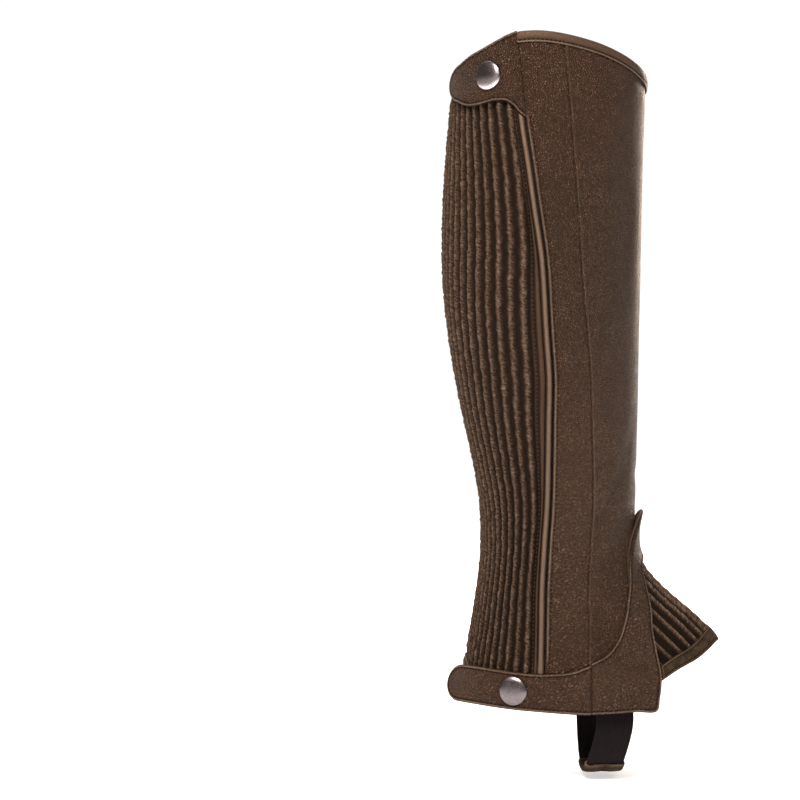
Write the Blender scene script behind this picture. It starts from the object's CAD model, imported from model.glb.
"""Looks of one half chap for the right leg: leather, pleated elastic, stitching and steel.

The tables below are in millimetres and degrees, and on_leg() turns them into places on the leg form.
Angles run round the leg: 0 at the back, 90 on the outer side, 180 at the front, 270 on the inner side.
Finished pieces are in metres: +X points to the toe, +Y to the inner side of the leg and +Z up.
"""

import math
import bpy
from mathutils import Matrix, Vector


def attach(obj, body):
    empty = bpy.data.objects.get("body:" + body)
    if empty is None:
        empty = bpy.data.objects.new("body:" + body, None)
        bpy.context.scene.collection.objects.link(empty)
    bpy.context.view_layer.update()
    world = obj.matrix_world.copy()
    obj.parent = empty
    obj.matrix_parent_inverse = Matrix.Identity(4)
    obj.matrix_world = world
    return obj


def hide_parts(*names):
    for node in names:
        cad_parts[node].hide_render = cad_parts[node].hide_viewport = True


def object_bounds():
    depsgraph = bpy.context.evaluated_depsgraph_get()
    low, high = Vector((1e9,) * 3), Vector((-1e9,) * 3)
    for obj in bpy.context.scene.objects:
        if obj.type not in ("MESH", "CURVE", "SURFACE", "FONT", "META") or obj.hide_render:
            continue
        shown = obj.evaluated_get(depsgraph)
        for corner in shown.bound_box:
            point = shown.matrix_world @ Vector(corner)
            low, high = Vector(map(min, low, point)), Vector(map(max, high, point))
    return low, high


bl_info = {
    "name": "Half Chap",
    "version": (1, 0, 0),
    "blender": (4, 5, 0),
    "location": "3D Viewport > Sidebar > Half Chap",
    "description": "Models the leather, pleated elastic, stitching and snaps of a half chap",
    "category": "Object",
}

from collections import namedtuple
from functools import cache

import bpy
import numpy as np
from bpy.props import FloatProperty, FloatVectorProperty, IntProperty, PointerProperty
from mathutils import Vector, noise
from mathutils.bvhtree import BVHTree
from mathutils.kdtree import KDTree

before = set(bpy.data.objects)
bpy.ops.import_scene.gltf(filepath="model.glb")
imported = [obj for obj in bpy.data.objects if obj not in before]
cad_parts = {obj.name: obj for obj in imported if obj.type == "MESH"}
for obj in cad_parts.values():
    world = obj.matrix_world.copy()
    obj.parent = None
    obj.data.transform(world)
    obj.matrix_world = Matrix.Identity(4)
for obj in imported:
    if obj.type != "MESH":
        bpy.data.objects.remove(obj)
CAD_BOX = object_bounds()
MM = 0.001

# ---------------------------------------------------------------- sizes, in millimetres

SEAM_GAP = 0.3
STRONG = 1.6               # thickness of the overlay and the tabs
STAY_WIDTH = 17.0
STAY_LAP = 8.0
GUARD_END = 15.0
GUARD_LAP = 7.0
GUARD_FOOT = -356.0
TAPE_WIDTH = 20.0
TAPE_LAP = 7.0
TAPE_DEPTH = 3.4
TAPE_TOP = 4.0
TAPE_FOOT = -370.0
BINDING_DEPTH = 7.0
HEM_BINDING_DEPTH = 8.0
PANEL_SHORT = 2.3
NOTCH_LAP = 2.4
OUTER_HEM = -372.6
OUTER_RIBS = 9
INNER_RIBS = 8
RIB_PITCH = 7.5
BAND_WIDTH = 7.0
TIP_Z = -335.5
TOP_TAB_END = 3.0
BOTTOM_TAB_LEAVES = 36.0
BOTTOM_TAB_FREE = 31.0
BOTTOM_TAB_CURL = 0.0065   # how much its free end bends in, for each millimetre squared
CAP_RADIUS = 8.4
PATCH_TOP = -26.0
PATCH_LOW = -239.0
PATCH_CORNER = 0.26
PATCH_CORNER_WIDE = 0.58
STRAP_BACK = 22.5
STRAP_FRONT = 44.0
STRAP_HALF_SPAN = 38.4
STRAP_TOP = -352.0
STRAP_BEND = -378.0
STRAP_FOOT = -412.6
STRAP_THICK = 1.4
STRAP_LEAN = 5.0           # how far its outer side swings towards the heel under the foot
SLEEVE_TOP = -406.2
SLEEVE_SLIT = 33.0         # how far forward the sleeve's two edges meet


def table(kind, *rows):
    """Rows of a table, whose columns have names."""
    return [kind(*row) for row in rows]


Section = namedtuple("Section", "z back front mid side egg")
SECTIONS = table(
    Section,
    (30, -57.0, 58.6, 0.5, 52.0, 0.06),
    (0, -57.6, 58.8, 0.5, 52.5, 0.06),
    (-48, -61.6, 57.2, -2.2, 54.0, 0.07),
    (-84, -63.6, 56.4, -3.6, 54.6, 0.08),
    (-120, -63.3, 55.8, -3.8, 54.0, 0.08),
    (-156, -59.6, 54.9, -2.4, 51.5, 0.08),
    (-192, -53.4, 54.3, 0.4, 48.0, 0.07),
    (-228, -45.4, 53.4, 4.0, 43.5, 0.06),
    (-252, -41.3, 52.9, 5.8, 40.5, 0.05),
    (-276, -40.6, 53.2, 6.4, 39.0, 0.03),
    (-290, -41.4, 57.8, 7.0, 38.8, 0.01),
    (-304, -43.2, 70.0, 8.0, 39.6, -0.02),
    (-322, -46.0, 91.0, 10.0, 41.2, -0.05),
    (-340, -49.4, 108.5, 12.0, 42.6, -0.07),
    (-360, -53.4, 125.0, 13.5, 43.8, -0.08),
    (-384, -57.6, 140.0, 15.0, 44.6, -0.08),
)

AngleAt = namedtuple("AngleAt", "z angle")
ZIP_LINE = table(
    AngleAt, (22, 62), (4, 64.7), (-28, 69.6), (-54, 74.9), (-78, 79.1), (-113, 84.3), (-157, 85.7),
    (-181, 85.7), (-205, 83.2), (-238, 79.2), (-274, 75.5), (-320, 72.0), (-375, 70),
)
SIDE_SEAM = table(
    AngleAt, (22, 89), (4, 90.9), (-32, 96), (-77, 101.4), (-124, 105.1), (-169, 108.9), (-199, 109.1),
    (-272, 106.6), (-310, 97.2), (-345, 92.4), (-375, 91),
)
STAY_LINE = table(
    AngleAt, (22, 303), (-6, 306), (-37, 310), (-87, 311), (-133, 304), (-177, 298), (-206, 296.5),
    (-235, 298.5), (-253, 302), (-293, 310), (-343, 315.5), (-375, 317),
)
TOP_CAP = AngleAt(-3.8, 45.3)
BOTTOM_CAP = AngleAt(-361.8, 54.4)

HeightAt = namedtuple("HeightAt", "angle z")
TOP_EDGE = table(
    HeightAt, (55, 20), (64, 21.3), (77, 21.5), (91, 19.7), (111, 15.5), (129, 10.5), (147, 5.5),
    (165, 1), (180, -1), (210, -2), (270, -2), (330, -1), (360, -1), (400, 0), (440, 1),
)
LOW_EDGE = table(
    HeightAt, (240, -372.4), (254, -372.8), (258.3, -370.8), (262.2, -366.2), (267.2, -361.8),
    (280, -356.2), (305, -353.4), (350, -350.4), (362, -351.5), (376, -358), (392, -364.5), (410, -366),
    (440, -366),
)
GUSSET_FOOT = table(
    HeightAt, (112, -360), (116, -356), (124, -350.2), (134.4, -345.2), (145.4, -340.3), (158, -336.6),
    (180, TIP_Z), (202, -336.6), (214.6, -340.3), (225.6, -345.2), (236, -350.2), (244, -356),
    (248, -360),
)
BOTTOM_TAB_TOP = table(
    HeightAt, (0, -348.6), (24, -348.8), (44, -350.0), (59, -351.2), (72, -351.4), (85.5, -349.4),
    (94, -344.6),
)
BOTTOM_TAB_LOW = table(
    HeightAt, (0, -369.4), (36, -371.4), (55, -372.8), (70, -373.8), (89, -375.2), (94, -375.1),
)

OverlayRow = namedtuple("OverlayRow", "step gusset_angle gusset_z leg_angle leg_z")
OVERLAY = [OverlayRow(step, *row) for step, row in enumerate([
    (91.6, -375.0, 93.1, -345.2),
    (98.4, -374.6, 98.6, -340.8),
    (104.4, -373.9, 102.6, -335.4),
    (110.6, -374.0, 106.0, -329.8),
    (113.0, -366.0, 107.6, -326.8),
    (116.2, -353.0, 109.8, -322.4),
    (118.8, -338.0, 117.3, -310.6),
    (123.7, -323.1, 127.0, -299.0),
    (136.0, -306.0, 138.5, -285.2),
    (148.5, -293.6, 149.8, -273.0),
    (163.0, -287.8, 163.0, -262.0),
    (180.0, -286.0, 180.0, -257.6),
    (192.5, -290.4, 196.0, -265.0),
    (207.0, -301.0, 209.5, -276.4),
    (219.5, -313.5, 220.3, -291.8),
    (228.6, -326.0, 231.6, -305.6),
    (234.4, -338.0, 241.2, -321.6),
    (239.0, -351.5, 248.2, -339.6),
    (243.4, -364.3, 253.2, -361.4),
])]
EAR_STEP = 11.0            # where the overlay's ear stands off the shin

TabRow = namedtuple("TabRow", "angle top low")
TOP_TAB = table(
    TabRow, (3, -0.5, -8.5), (7, 1.2, -11.0), (12, 2.9, -13.4), (20, 6.2, -17.2), (30, 9.8, -20.4),
    (40, 12.8, -20.6), (50, 16.6, -19.0), (57, 19.6, -19.4), (62, 21.6, -22.4), (66, 22.6, -26.8),
    (72, 23.0, -30.6),
)
PatchRow = namedtuple("PatchRow", "z back front")
INNER_PATCH = table(
    PatchRow, (-20, 287, 208), (-50, 291, 203), (-78, 289.4, 198.5), (-100, 285.6, 196.6),
    (-134, 281.8, 196.6), (-168, 281, 198.6), (-200, 280.6, 201), (-222, 281, 204), (-245, 282, 207),
)

# Soft troughs (depth above 0) and ridges (below 0) of the worn leather. lean is measured from
# upright towards larger angles; half and width are half the length and the reach to each side.
Crease = namedtuple("Crease", "angle z lean half width depth")
CREASES = table(
    Crease, (100, -40, 4, 50, 9, 0.5), (122, -70, 2, 70, 11, -0.6), (141, -120, -3, 64, 9, 0.6),
    (158, -60, 3, 48, 8, -0.5), (121, -196, 5, 52, 7, 0.6), (137, -236, 24, 30, 6, 0.9),
    (116, -262, 38, 26, 5, 0.8), (124, -286, 52, 22, 4.5, 0.8), (104, -306, 60, 20, 4.5, 0.6),
    (150, -262, 66, 18, 4.5, 0.7), (96, -332, 70, 18, 4, 0.5), (176, -236, 88, 17, 5, 0.6),
    (203, -250, -70, 20, 5, 0.7), (224, -268, -48, 26, 5.5, 0.8), (249, -292, -34, 28, 6, 0.8),
    (276, -268, -22, 32, 6, 0.7), (268, -330, -52, 20, 5, 0.6), (293, -312, 8, 26, 6, 0.6),
    (296, -160, 6, 52, 8, 0.7), (208, -130, 2, 70, 10, -0.5), (246, -90, 1, 70, 14, -0.7),
    (232, -180, 12, 40, 9, 0.5), (262, -204, -14, 34, 8, 0.5), (84, -300, 12, 30, 5, 0.5),
)

# Cross sections of the long strips: how far they stand out across their width.
Profile = namedtuple("Profile", "across out")
STAY_PROFILE = table(
    Profile, (0.0, 0.5), (0.5, 1.5), (1.4, 2.1), (2.4, 2.15), (3.3, 1.6), (4.0, 1.05), (4.7, 1.35),
    (6.2, 1.6), (7.4, 1.5), (8.3, 1.15), (9.2, 1.5), (10.6, 1.6), (11.8, 1.4), (12.6, 1.1), (13.4, 1.5),
    (15.0, 1.7), (16.2, 1.4), (17.0, 0.5),
)
GUARD_PROFILE = table(
    Profile, (0.9, -0.6), (1.2, 0.2), (1.9, 1.15), (2.9, 1.6), (3.9, 1.15), (4.5, 0.2), (5.0, -0.6),
    (5.6, 0.0), (6.6, 0.35), (7.7, 0.2), (8.4, -0.3), (8.8, -0.6), (9.3, -0.1), (10.0, 0.6),
    (10.6, 0.1), (11.1, -0.6), (11.6, -0.9),
)
WELT_WIDTH = 5.0
GuardAt = namedtuple("GuardAt", "z width")
GUARD_WIDTH = table(
    GuardAt, (-375, 8.4), (-305, 8.3), (-283, 7.9), (-262, 7.7), (-238, 9.0), (-215, 10.6),
    (-192, 11.6), (-147, 11.6), (-124, 10.6), (-101, 8.4), (-79, 6.9), (-56, 6.2), (0, 6.2),
)
STAY_ROWS = (4.0, 8.3, 12.6)          # where the stay is stitched, across its width
GUARD_DIPS = (5.0, 8.8)
GUARD_ROW = 10.0

BindingPoint = namedtuple("BindingPoint", "out up")


# ---------------------------------------------------------------- the leg form

class Curve:
    """Smooth curve through one column of a table, against another column."""

    def __init__(self, rows, key, value):
        pairs = np.array(sorted((getattr(row, key), getattr(row, value)) for row in rows), float)
        keys, values = pairs[:, 0], pairs[:, 1]
        last = len(pairs) - 1
        before = np.maximum(np.arange(last + 1) - 1, 0)
        after = np.minimum(np.arange(last + 1) + 1, last)
        slopes = (values[after] - values[before]) / (keys[after] - keys[before])
        self.at = np.linspace(keys[0], keys[-1], 4000)
        place = np.clip(np.searchsorted(keys, self.at, side="right") - 1, 0, last - 1)
        span = keys[place + 1] - keys[place]
        t = (self.at - keys[place]) / span
        self.values = ((2 * t**3 - 3 * t**2 + 1) * values[place]
                       + (t**3 - 2 * t**2 + t) * span * slopes[place]
                       + (3 * t**2 - 2 * t**3) * values[place + 1]
                       + (t**3 - t**2) * span * slopes[place + 1])

    def __call__(self, at):
        return np.interp(at, self.at, self.values)


SECTION_CURVES = [Curve(SECTIONS, "z", name) for name in ("back", "front", "mid", "side", "egg")]
zip_line = Curve(ZIP_LINE, "z", "angle")
side_seam = Curve(SIDE_SEAM, "z", "angle")
stay_line = Curve(STAY_LINE, "z", "angle")
top_edge = Curve(TOP_EDGE, "angle", "z")
low_edge = Curve(LOW_EDGE, "angle", "z")
gusset_foot = Curve(GUSSET_FOOT, "angle", "z")
gusset_side = Curve(OVERLAY, "gusset_angle", "gusset_z")
outer_leg_side = Curve(OVERLAY[3:8], "gusset_z", "gusset_angle")
inner_leg_side = Curve(OVERLAY[-5:], "gusset_z", "gusset_angle")
overlay_curves = [Curve(OVERLAY, "step", name) for name in OverlayRow._fields[1:]]
top_tab_top = Curve(TOP_TAB, "angle", "top")
top_tab_low = Curve(TOP_TAB, "angle", "low")
bottom_tab_top = Curve(BOTTOM_TAB_TOP, "angle", "z")
bottom_tab_low = Curve(BOTTOM_TAB_LOW, "angle", "z")
patch_back = Curve(INNER_PATCH, "z", "back")
patch_front = Curve(INNER_PATCH, "z", "front")
guard_width = Curve(GUARD_WIDTH, "z", "width")


def blend(low, high, t):
    return low + (high - low) * t


def fade(value, start, end):
    """0 before start, 1 after end, smooth between them."""
    t = np.clip((value - start) / (end - start), 0.0, 1.0)
    return t * t * (3 - 2 * t)


def bell(value, width):
    return np.exp(-(value / width) ** 2)


def unit(vectors):
    return vectors / np.linalg.norm(vectors, axis=-1, keepdims=True)


def leg_point(angle, z):
    """Points of the leg form at angles and heights."""
    angle, z = np.broadcast_arrays(np.asarray(angle, float), np.asarray(z, float))
    back, front, mid, side, egg = [curve(z) for curve in SECTION_CURVES]
    cosine, sine = np.cos(np.radians(angle)), np.sin(np.radians(angle))
    reach = np.where(cosine > 0, mid - back, front - mid)
    return np.stack([mid - reach * cosine, -side * sine * (1 + egg * cosine), z], axis=-1)


def leg_normal(angle, z):
    around = leg_point(angle + 0.5, z) - leg_point(angle - 0.5, z)
    upward = leg_point(angle, z + 0.5) - leg_point(angle, z - 0.5)
    return unit(np.cross(around, upward))


def drape(angle, z):
    """How far the worn leather bulges out or sinks in at a place, shared by all its layers."""
    millimetres_per_degree = 0.84
    out = np.zeros(np.broadcast(angle, z).shape)
    for crease in CREASES:
        round_leg = ((angle - crease.angle + 180) % 360 - 180) * millimetres_per_degree
        lean = math.radians(crease.lean)
        across = round_leg * math.cos(lean) - (z - crease.z) * math.sin(lean)
        along = round_leg * math.sin(lean) + (z - crease.z) * math.cos(lean)
        out -= crease.depth * bell(across, crease.width) * np.exp(-(along / crease.half) ** 4)
    return out


def on_leg(angle, z, out=0.0):
    """Points that stand a distance out from the leg form. out may be a rule of angle and height."""
    out = out(angle, z) if callable(out) else out
    return leg_point(angle, z) + leg_normal(angle, z) * np.asarray(out + drape(angle, z))[..., None]


def step_round(angle, z, distance):
    """Angles reached by walking a distance round the leg."""
    steps = 4
    for _ in range(steps):
        ahead = leg_point(angle + 0.5, z) - leg_point(angle - 0.5, z)
        angle = angle + distance / steps / np.linalg.norm(ahead, axis=-1)
    return angle


def line_up_leg(rule):
    """Line whose angle at each height comes from a rule, which is worked out once."""
    heights = np.linspace(-420.0, 60.0, 961)
    angles = rule(heights)
    return lambda z: np.interp(z, heights, angles)


def level(z):
    """Rule for an edge at one height."""
    return lambda angle: z + 0 * angle


def solve_place(side, low, high, v):
    """Angle and height at a share v of the way up a line, whose angle depends on the height."""
    z = blend(-370.0, 20.0, v)
    for _ in range(14):
        angle = side(z)
        z = blend(low(angle), high(angle), v)
    return angle, z


# ---------------------------------------------------------------- meshes

def deselect():
    if bpy.context.mode != "OBJECT":
        bpy.ops.object.mode_set(mode="OBJECT")
    bpy.ops.object.select_all(action="DESELECT")


def select(piece):
    deselect()
    piece.select_set(True)
    bpy.context.view_layer.objects.active = piece


def points_of(piece):
    flat = np.empty(len(piece.data.vertices) * 3, np.float32)
    piece.data.vertices.foreach_get("co", flat)
    return flat.reshape(-1, 3).astype(float)


def set_points(piece, points):
    piece.data.vertices.foreach_set("co", np.asarray(points, np.float32).ravel())
    piece.data.update()


def edit(piece, *steps):
    """Runs modelling steps in edit mode with the whole piece selected."""
    select(piece)
    bpy.ops.object.mode_set(mode="EDIT")
    bpy.ops.mesh.select_mode(type="VERT")
    bpy.ops.mesh.select_all(action="SELECT")
    for step in steps:
        step()
    bpy.ops.object.mode_set(mode="OBJECT")


def modify(piece, kind, **settings):
    """Adds a modifier and applies it."""
    select(piece)
    modifier = piece.modifiers.new(kind.title(), kind)
    for name, value in settings.items():
        setattr(modifier, name, value)
    bpy.ops.object.modifier_apply(modifier=modifier.name)


def face_out(piece, outward):
    """Turns the faces over if they look against the outward directions of the vertices."""
    normals = np.empty(len(piece.data.vertices) * 3, np.float32)
    piece.data.vertices.foreach_get("normal", normals)
    if np.sum(normals.reshape(-1, 3) * outward) < 0:
        edit(piece, bpy.ops.mesh.flip_normals)


def store(piece, name, values):
    """Keeps a value for each vertex, for the materials."""
    layer = piece.data.attributes.get(name) or piece.data.attributes.new(name, "FLOAT", "POINT")
    layer.data.foreach_set("value", np.asarray(values, np.float32))


def corners_of(piece):
    """Vertex at each corner of each face."""
    corners = np.empty(len(piece.data.loops), np.int32)
    piece.data.loops.foreach_get("vertex_index", corners)
    return corners


def lay_uv(piece, across, along):
    """UV map in millimetres across and along a piece, from a value for each vertex."""
    corners = corners_of(piece)
    layer = piece.data.uv_layers[0] if piece.data.uv_layers else piece.data.uv_layers.new(name="UVMap")
    layer.data.foreach_set("uv", np.stack([across[corners], along[corners]], 1).astype(np.float32).ravel())


def crowd(t, amount):
    """Moves evenly spaced places closer to both ends."""
    return t - amount * np.sin(2 * math.pi * t) / (2 * math.pi)


def flat_grid(name, columns, rows):
    """Primitive grid of columns by rows faces, with its places u and v from 0 to 1."""
    deselect()
    bpy.ops.mesh.primitive_grid_add(x_subdivisions=columns, y_subdivisions=rows, size=1.0)
    piece = bpy.context.object
    piece.name = piece.data.name = name
    flat = points_of(piece)
    return piece, flat[:, 0] + 0.5, flat[:, 1] + 0.5


SIDES = ("low", "right", "top", "left")


def search_tree(points):
    """Tree that finds the nearest of some points."""
    tree = KDTree(len(points))
    for index, point in enumerate(points):
        tree.insert(point, index)
    tree.balance()
    return tree


class Pattern:
    """A cut piece of leather. place(u, v, out) gives its points, u across it and v up it."""

    def __init__(self, place, turned=SIDES):
        self.place = place
        self.turned = turned

    def outward(self, u, v):
        return self.place(u, v, 1.0) - self.place(u, v, 0.0)

    def outline(self, sides=SIDES, count=500):
        """Places round the edge, in order."""
        run = (np.arange(count) + 0.5) / count
        still = np.zeros(count)
        ways = {"low": (run, still), "right": (still + 1, run),
                "top": (1 - run, still + 1), "left": (still, 1 - run)}
        return np.concatenate([ways[side] for side in sides], axis=1)

    def gap(self, points):
        """Distance from each point to the turned edge."""
        tree = search_tree(self.place(*self.outline(self.turned, 2500), 0.0))
        return np.array([tree.find(point)[2] for point in points])

    def inset(self, distance, sides=SIDES):
        """Line of points and outward directions that runs a distance inside some of the sides."""
        u, v = self.outline(sides)
        edge = self.place(u, v, 0.0)
        outward = self.outward(u, v)
        inner = self.place(blend(u, 0.5, 0.01), blend(v, 0.5, 0.01), 0.0) - edge
        inward = unit(np.cross(outward, np.gradient(edge, axis=0)))
        inward *= np.sign(np.sum(inward * inner, axis=1, keepdims=True))
        line = edge + inward * distance
        kept = self.gap(line) > distance * 0.94
        return line[kept], outward[kept]

    def rail(self, u, low=0.0, high=1.0, count=400):
        """Line up the piece at one place across it."""
        v = np.linspace(low, high, count)
        u = np.full(count, u)
        return self.place(u, v, 0.0), self.outward(u, v)


def sewn_at(row):
    """Marks of a turned edge: rubbed light on its ridge, dark under its rim and in its stitched groove."""
    def marks(u, v, gap):
        worn = bell(gap - row * 0.52, row * 0.2)
        return worn, np.maximum(0.9 * bell(gap, 0.3), 0.7 * bell(gap - row, 0.55))

    return marks


def bend_sheet(name, pattern, columns, rows, out=0.0, marks=None, ease_u=0.0, ease_v=0.0):
    """Grid bent to a pattern.

    out and marks are rules of u, v and the distance to the cut edge: how far it stands out, and where
    it is worn light and lies dark. An ease is a share of crowding to both ends, or a rule.
    """
    piece, u, v = flat_grid(name, columns, rows)
    u = ease_u(u) if callable(ease_u) else crowd(u, ease_u)
    v = ease_v(v) if callable(ease_v) else crowd(v, ease_v)
    gap = pattern.gap(pattern.place(u, v, 0.0))
    height = out(u, v, gap) if callable(out) else out
    points = pattern.place(u, v, height)
    set_points(piece, points * MM)
    face_out(piece, pattern.outward(u, v))
    if marks:
        worn, dark = marks(u, v, gap)
        store(piece, "wear", worn)
        store(piece, "valley", dark)
    return piece


def thicken(piece, thickness, outer, inner=None, rim=None):
    """Gives a sheet its thickness. It is leather inside and at its rim unless materials are named."""
    for material in (outer, inner or flesh_side(), rim or cut_edge()):
        piece.data.materials.append(material)
    modify(piece, "SOLIDIFY", thickness=thickness * MM, offset=-1.0, use_rim=True,
           material_offset=1, material_offset_rim=2)
    smooth(piece)


def smooth(piece, angle=48):
    select(piece)
    bpy.ops.object.shade_smooth_by_angle(angle=math.radians(angle))


def ring_grid(name, stations, rows, place, outward):
    """Grid whose columns run once round the section of a bar. The last station is the first again.

    place(station, v) gives its points, and outward(station, v) the way they face.
    """
    piece, share, v = flat_grid(name, stations, rows)
    station = np.rint(share * stations).astype(int)
    set_points(piece, place(station, v) * MM)
    face_out(piece, outward(station, v))
    return piece, station, v


def close_ring(piece, *more):
    """Joins a ring's first and last column, then runs more steps."""
    edit(piece, lambda: bpy.ops.mesh.remove_doubles(threshold=1e-6), *more)


def close_bar(piece):
    """Joins a ring's first and last column and fills its two ends."""
    close_ring(piece, lambda: bpy.ops.mesh.fill_holes(sides=0))


def fit(piece, slot, *nodes):
    """The finished piece rides on the chap, in its record's material, in place of its solids."""
    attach(piece, "root")
    if nodes:
        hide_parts(*nodes)
    return piece


# ---------------------------------------------------------------- sewing

def resample(points, outward, pitch):
    """Evenly spaced places along a line, with its directions."""
    steps = np.linalg.norm(np.diff(points, axis=0), axis=1)
    walked = np.concatenate([[0.0], np.cumsum(steps)])
    count = max(int(round(walked[-1] / pitch)), 2)
    stations = (np.arange(count) + 0.5) * walked[-1] / count
    even = np.stack([np.interp(stations, walked, points[:, axis]) for axis in range(3)], 1)
    normals = unit(np.stack([np.interp(stations, walked, outward[:, axis]) for axis in range(3)], 1))
    return even, unit(np.gradient(even, axis=0)), normals


def seat(pieces, points, outward, reach=9.0):
    """Moves points along their directions onto the outside of the pieces."""
    trees = [BVHTree.FromObject(piece, bpy.context.evaluated_depsgraph_get()) for piece in pieces]
    seated, found = points.copy(), np.zeros(len(points), bool)
    for index, (point, direction) in enumerate(zip(points, outward)):
        start = Vector((point + direction * reach) * MM)
        hits = [tree.ray_cast(start, Vector(-direction), 2 * reach * MM) for tree in trees]
        hits = [hit for hit in hits if hit[0] is not None]
        if hits:
            seated[index] = np.array(min(hits, key=lambda hit: hit[3])[0]) / MM
            found[index] = True
    return seated, found


def copies(name, model, places, along, outward, material):
    """One mesh of many copies of a model, each turned to its own directions."""
    shape = points_of(model) / MM
    faces = [list(face.vertices) for face in model.data.polygons]
    across = np.cross(outward, along)
    points = (places[:, None] + shape[None, :, :1] * along[:, None]
              + shape[None, :, 1:2] * across[:, None] + shape[None, :, 2:] * outward[:, None])
    mesh = bpy.data.meshes.new(name)
    every = [[corner + copy * len(shape) for corner in face]
             for copy in range(len(places)) for face in faces]
    mesh.from_pydata((points.reshape(-1, 3) * MM).tolist(), [], every)
    piece = bpy.data.objects.new(name, mesh)
    bpy.context.scene.collection.objects.link(piece)
    mesh.materials.append(material)
    bpy.data.objects.remove(model)
    smooth(piece, 60)
    return piece


def sizes():
    return bpy.context.scene.half_chap_sizes


def one_stitch():
    """A single stitch: a plump thread that dives into the leather at both ends."""
    deselect()
    bpy.ops.mesh.primitive_uv_sphere_add(segments=6, ring_count=5, radius=1.0, rotation=(0, math.pi / 2, 0))
    stitch = bpy.context.object
    bpy.ops.object.transform_apply(location=True, rotation=True, scale=True)
    shape = points_of(stitch)
    plump = sizes().thread / 2 * (1 - 0.3 * shape[:, 0] ** 2)
    half_length = np.full(len(shape), sizes().stitch_length / 2)
    set_points(stitch, shape * np.stack([half_length, plump, plump], 1))
    return stitch


def sew(name, pieces, rows, sink=0.12, material=None, slant=0.12):
    """Rows of stitches along lines on the outside of the pieces."""
    pitch = sizes().stitch_pitch / MM
    places, along, outward = [], [], []
    for points, normals in rows:
        even, forward, out = resample(points, normals, pitch)
        seated, found = seat(pieces, even, out)
        side = np.cross(out, forward)
        places.append((seated - out * sink)[found])
        along.append(unit(forward + side * slant)[found])
        outward.append(out[found])
    along = np.concatenate(along)
    outward = np.concatenate(outward)
    outward = unit(outward - along * np.sum(along * outward, axis=1, keepdims=True))
    stitches = copies(name, one_stitch(), np.concatenate(places), along, outward, material or thread())
    return fit(stitches, "brown_leather")


def turned_edge(gap, row, ridge=0.28, groove=0.34, drop=0.7):
    """Height of a turned and sewn edge: rounded at the rim, full before the stitches, dipped at them."""
    return (-drop * bell(gap, 0.42) + ridge * bell(gap - row * 0.52, row * 0.36)
            - groove * bell(gap - row, 0.5) + 0.12 * bell(gap - row * 1.9, row * 0.6))


# ---------------------------------------------------------------- materials

class Socket:
    """An output in a tree of nodes. Arithmetic on it adds Math nodes."""

    def __init__(self, tree, source):
        self.tree, self.source = tree, source

    def _math(self, operation, *values):
        return self.tree.node("ShaderNodeMath", {"operation": operation}, dict(enumerate(values)))

    def __add__(self, other):
        return self._math("ADD", self, other)

    def __sub__(self, other):
        return self._math("SUBTRACT", self, other)

    def __rsub__(self, other):
        return self._math("SUBTRACT", other, self)

    def __mul__(self, other):
        return self._math("MULTIPLY", self, other)

    __radd__, __rmul__ = __add__, __mul__

    def sine(self):
        return self._math("SINE", self)

    def limit(self):
        return self._math("MINIMUM", self, 1.0)

    def ramp(self, start, end):
        """0 up to start, 1 from end, smooth between them."""
        return self.tree.node("ShaderNodeMapRange", {"interpolation_type": "SMOOTHSTEP"},
                              {"Value": self, "From Min": start, "From Max": end})


class NodeTree:
    """A tree of nodes under construction."""

    def __init__(self, tree):
        self.tree = tree

    def node(self, kind, settings=None, values=None, output=0):
        node = self.tree.nodes.new(kind)
        for name, value in (settings or {}).items():
            setattr(node, name, value)
        for name, value in (values or {}).items():
            self.feed(node.inputs[name], value)
        return Socket(self, node.outputs[output])

    def feed(self, socket, value):
        if isinstance(value, Socket):
            self.tree.links.new(value.source, socket)
        elif socket.type == "RGBA":
            socket.default_value = (*value, 1.0)
        else:
            socket.default_value = value

    def mix(self, share, low, high):
        """Colour between two colours."""
        return self.node("ShaderNodeMix", {"data_type": "RGBA"}, {0: share, 6: low, 7: high}, output=2)


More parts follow.
